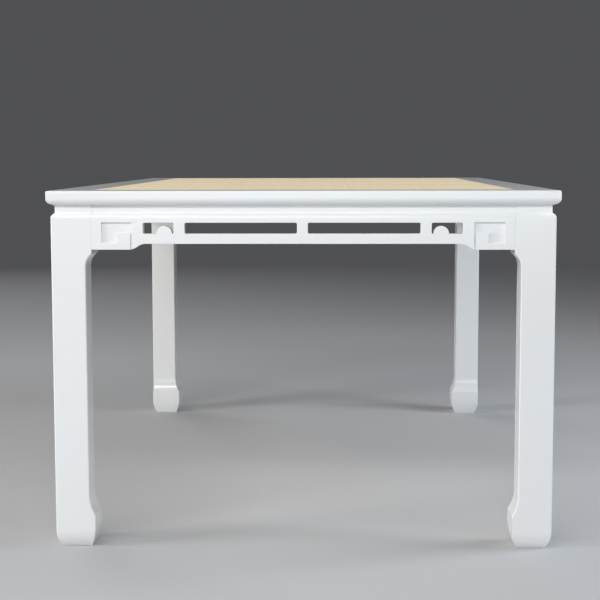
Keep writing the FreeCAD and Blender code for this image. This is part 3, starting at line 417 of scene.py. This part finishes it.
def raffia_field(half, seed, cloth):
    """The woven cloth of one half: strands across the table, bound by threads along it, closed underneath."""
    low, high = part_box(f"{half}_raffia")
    draw = random.Random(seed)
    edges = strand_edges(low.y, high.y, draw)
    columns = thread_columns(low.x, high.x)
    points, tones, threads, groove_shades = [], [], [], []

    def groove_row(y):
        for x, thread in columns:
            depth = GROOVE_DEPTH if thread is None else GROOVE_AT_THREAD
            points.append((x, y, high.z - depth))
            # Painted shade: the groove between strands gets a dark tone and the groove mask
            tones.append(GROOVE_SHADE_TONE)
            threads.append(0.0 if thread is None else 1.0)
            groove_shades.append(1.0 if thread is None else GROOVE_SHADE_AT_THREAD)

    for strand, (near, far) in enumerate(zip(edges, edges[1:])):
        groove_row(near)
        strips = leaf_strips(columns, draw)
        for share in STRAND_SHOULDERS:
            for column, (x, thread) in enumerate(columns):
                over = thread is not None and (strand + thread) % 2 == 0
                tone, thinness = strips[column]
                depth = woven_depth(strand, column, columns) + thinness
                points.append((x, near + share * (far - near), high.z - depth))
                tones.append(tone)
                threads.append(1.0 if over else 0.0)
                groove_shades.append(0.0)
    groove_row(edges[-1])

    wide, rows = len(columns), len(points) // len(columns)
    faces = []
    for row in range(rows - 1):
        for column in range(wide - 1):
            corner = row * wide + column
            faces.append((corner, corner + 1, corner + wide + 1, corner + wide))
    woven = len(faces)

    # The closed sides and back, which carry only each row's two ends
    under = len(points)
    for row in range(rows):
        for end in (row * wide, (row + 1) * wide - 1):
            points.append((points[end][0], points[end][1], low.z))
    for row in range(rows - 1):
        left, right = under + 2 * row, under + 2 * row + 1
        top_left, top_right = row * wide, (row + 1) * wide - 1
        faces.append((top_left, top_left + wide, left + 2, left))
        faces.append((top_right + wide, top_right, right, right + 2))
        faces.append((left, left + 2, right + 2, right))
    last = (rows - 1) * wide
    faces.append((under, under + 1, *range(wide - 1, -1, -1)))
    faces.append((under + 2 * rows - 1, under + 2 * rows - 2, *range(last, last + wide)))

    mesh = bpy.data.meshes.new(f"{half}_raffia_cloth")
    mesh.from_pydata(points, [], faces)
    spare = [0.0] * (len(points) - under)
    # The groove attribute carries the painted shade of the grooves
    for name, values in (("strand_tone", tones), ("thread", threads), ("groove", groove_shades)):
        mesh.attributes.new(name, "FLOAT", "POINT").data.foreach_set("value", values + spare)
    mesh.polygons.foreach_set("use_smooth", [index < woven for index in range(len(faces))])
    mesh.materials.append(cloth)
    cloth_piece = bpy.data.objects.new(f"{half}_raffia_cloth", mesh)
    bpy.context.scene.collection.objects.link(cloth_piece)
    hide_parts(f"{half}_raffia")
    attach(cloth_piece, f"{half}_half")


def dress(material, names):
    for name in names:
        frame["nodes"][name].material_slots[0].material = material


def each_half(*names):
    return [f"{half}_{name}" for half in HALVES for name in names]


def each_corner(*names):
    return [f"{half}_{side}_{name}" for half in HALVES for side in SIDES for name in names]


def camera():
    forward = Vector((
        -math.sin(CAMERA_YAW) * math.cos(CAMERA_PITCH),
        math.cos(CAMERA_YAW) * math.cos(CAMERA_PITCH),
        -math.sin(CAMERA_PITCH),
    ))
    level = Vector((math.cos(CAMERA_YAW), math.sin(CAMERA_YAW), 0.0))
    upright = level.cross(forward)
    right = math.cos(CAMERA_ROLL) * level + math.sin(CAMERA_ROLL) * upright
    up = math.cos(CAMERA_ROLL) * upright - math.sin(CAMERA_ROLL) * level
    turn = Matrix((right, up, -forward)).transposed().to_4x4()
    eye = bpy.data.objects.new("camera", bpy.data.cameras.new("camera"))
    eye.data.lens = CAMERA_LENS
    eye.matrix_world = Matrix.Translation(CAMERA_PLACE) @ turn
    bpy.context.scene.collection.objects.link(eye)
    bpy.context.scene.camera = eye


def lamps():
    for name, (place, width, height, watts, colour) in LAMPS.items():
        lamp = bpy.data.lights.new(name, "AREA")
        lamp.shape = "RECTANGLE"
        lamp.size = width
        lamp.size_y = height
        lamp.energy = watts
        lamp.color = colour
        stand = bpy.data.objects.new(name, lamp)
        stand.location = place
        stand.rotation_euler = (Vector(LAMP_TARGET) - Vector(place)).to_track_quat("-Z", "Y").to_euler()
        bpy.context.scene.collection.objects.link(stand)


def seen_rays(tree):
    """1 for rays that show a thing directly, in gloss or through glass, and 0 for rays that light it."""
    path = tree.nodes.new("ShaderNodeLightPath")
    seen = path.outputs["Is Camera Ray"]
    for kind in ("Is Glossy Ray", "Is Transmission Ray"):
        either = tree.nodes.new("ShaderNodeMath")
        either.operation = "MAXIMUM"
        tree.links.new(seen, either.inputs[0])
        tree.links.new(path.outputs[kind], either.inputs[1])
        seen = either.outputs[0]
    return seen


def world():
    studio = bpy.data.worlds.new("studio")
    studio.use_nodes = True
    tree = studio.node_tree
    light = tree.nodes["Background"]
    light.inputs["Color"].default_value = (*AMBIENT, 1.0)
    backdrop = tree.nodes.new("ShaderNodeBackground")
    backdrop.inputs["Color"].default_value = (*BACKDROP, 1.0)
    choice = tree.nodes.new("ShaderNodeMixShader")
    tree.links.new(seen_rays(tree), choice.inputs[0])
    tree.links.new(light.outputs[0], choice.inputs[1])
    tree.links.new(backdrop.outputs[0], choice.inputs[2])
    tree.links.new(choice.outputs[0], tree.nodes["World Output"].inputs["Surface"])
    bpy.context.scene.world = studio


def floor():
    """A plain floor that fades into the backdrop away from the table."""
    finish = Finish("studio_floor")
    finish.surface(base_color=FLOOR_COLOUR, roughness=FLOOR_ROUGHNESS, specular_ior_level=FLOOR_GLOSS)
    away = finish.add("VectorMath", {0: finish.place()}, operation="LENGTH").outputs["Value"]
    faded = finish.math("MULTIPLY", finish.between(away, *FLOOR_FADES), seen_rays(finish.tree))
    glow = finish.add("Emission", {"Color": BACKDROP, "Strength": 1.0})
    choice = finish.add("MixShader", {0: faded, 1: finish.shader.outputs[0], 2: glow.outputs[0]})
    finish.feed(finish.tree.nodes["Material Output"].inputs["Surface"], choice.outputs[0])
    half = FLOOR_SIZE / 2
    corners = [(-half, -half, 0), (half, -half, 0), (half, half, 0), (-half, half, 0)]
    mesh = bpy.data.meshes.new("floor")
    mesh.from_pydata(corners, [], [(0, 1, 2, 3)])
    mesh.materials.append(finish.material)
    ground = bpy.data.objects.new("floor", mesh)
    bpy.context.scene.collection.objects.link(ground)


dress(lacquer("x"), each_half("end_rail", "end_waist", "end_apron"))
dress(lacquer("y"), each_corner("rail", "waist", "apron"))
dress(lacquer("z"), each_corner("leg"))

maple_along = bare_wood("maple_along", "y", **MAPLE)
maple_across = bare_wood("maple_across", "x", **MAPLE)
dress(bare_wood("plywood", "y", **PLYWOOD), each_half("core_panel"))
dress(maple_along, each_corner("runner") + ["left_middle_runner", "right_middle_runner"])
dress(maple_across, each_half("seam_batten", "outer_batten", "cleats", "corner_blocks") + ["middle_tie"])
pegs = each_half("mitre_splines", "apron_dowels", "runner_stops") + ["seam_pins"]
dress(bare_wood("birch", "y", **BIRCH), pegs)

screws = each_half("lag_screws", "runner_screws", "lock_screws") + ["tie_screws"]
locks = ["lock_bases", "lock_keepers", "left_lock_lever", "right_lock_lever"]
dress(zinc_steel(), screws + locks)

raffia = raffia_cloth()
for seed, half in enumerate(HALVES):
    raffia_field(half, seed, raffia)

camera()
lamps()
world()
floor()
bpy.context.scene.view_settings.view_transform = "Standard"
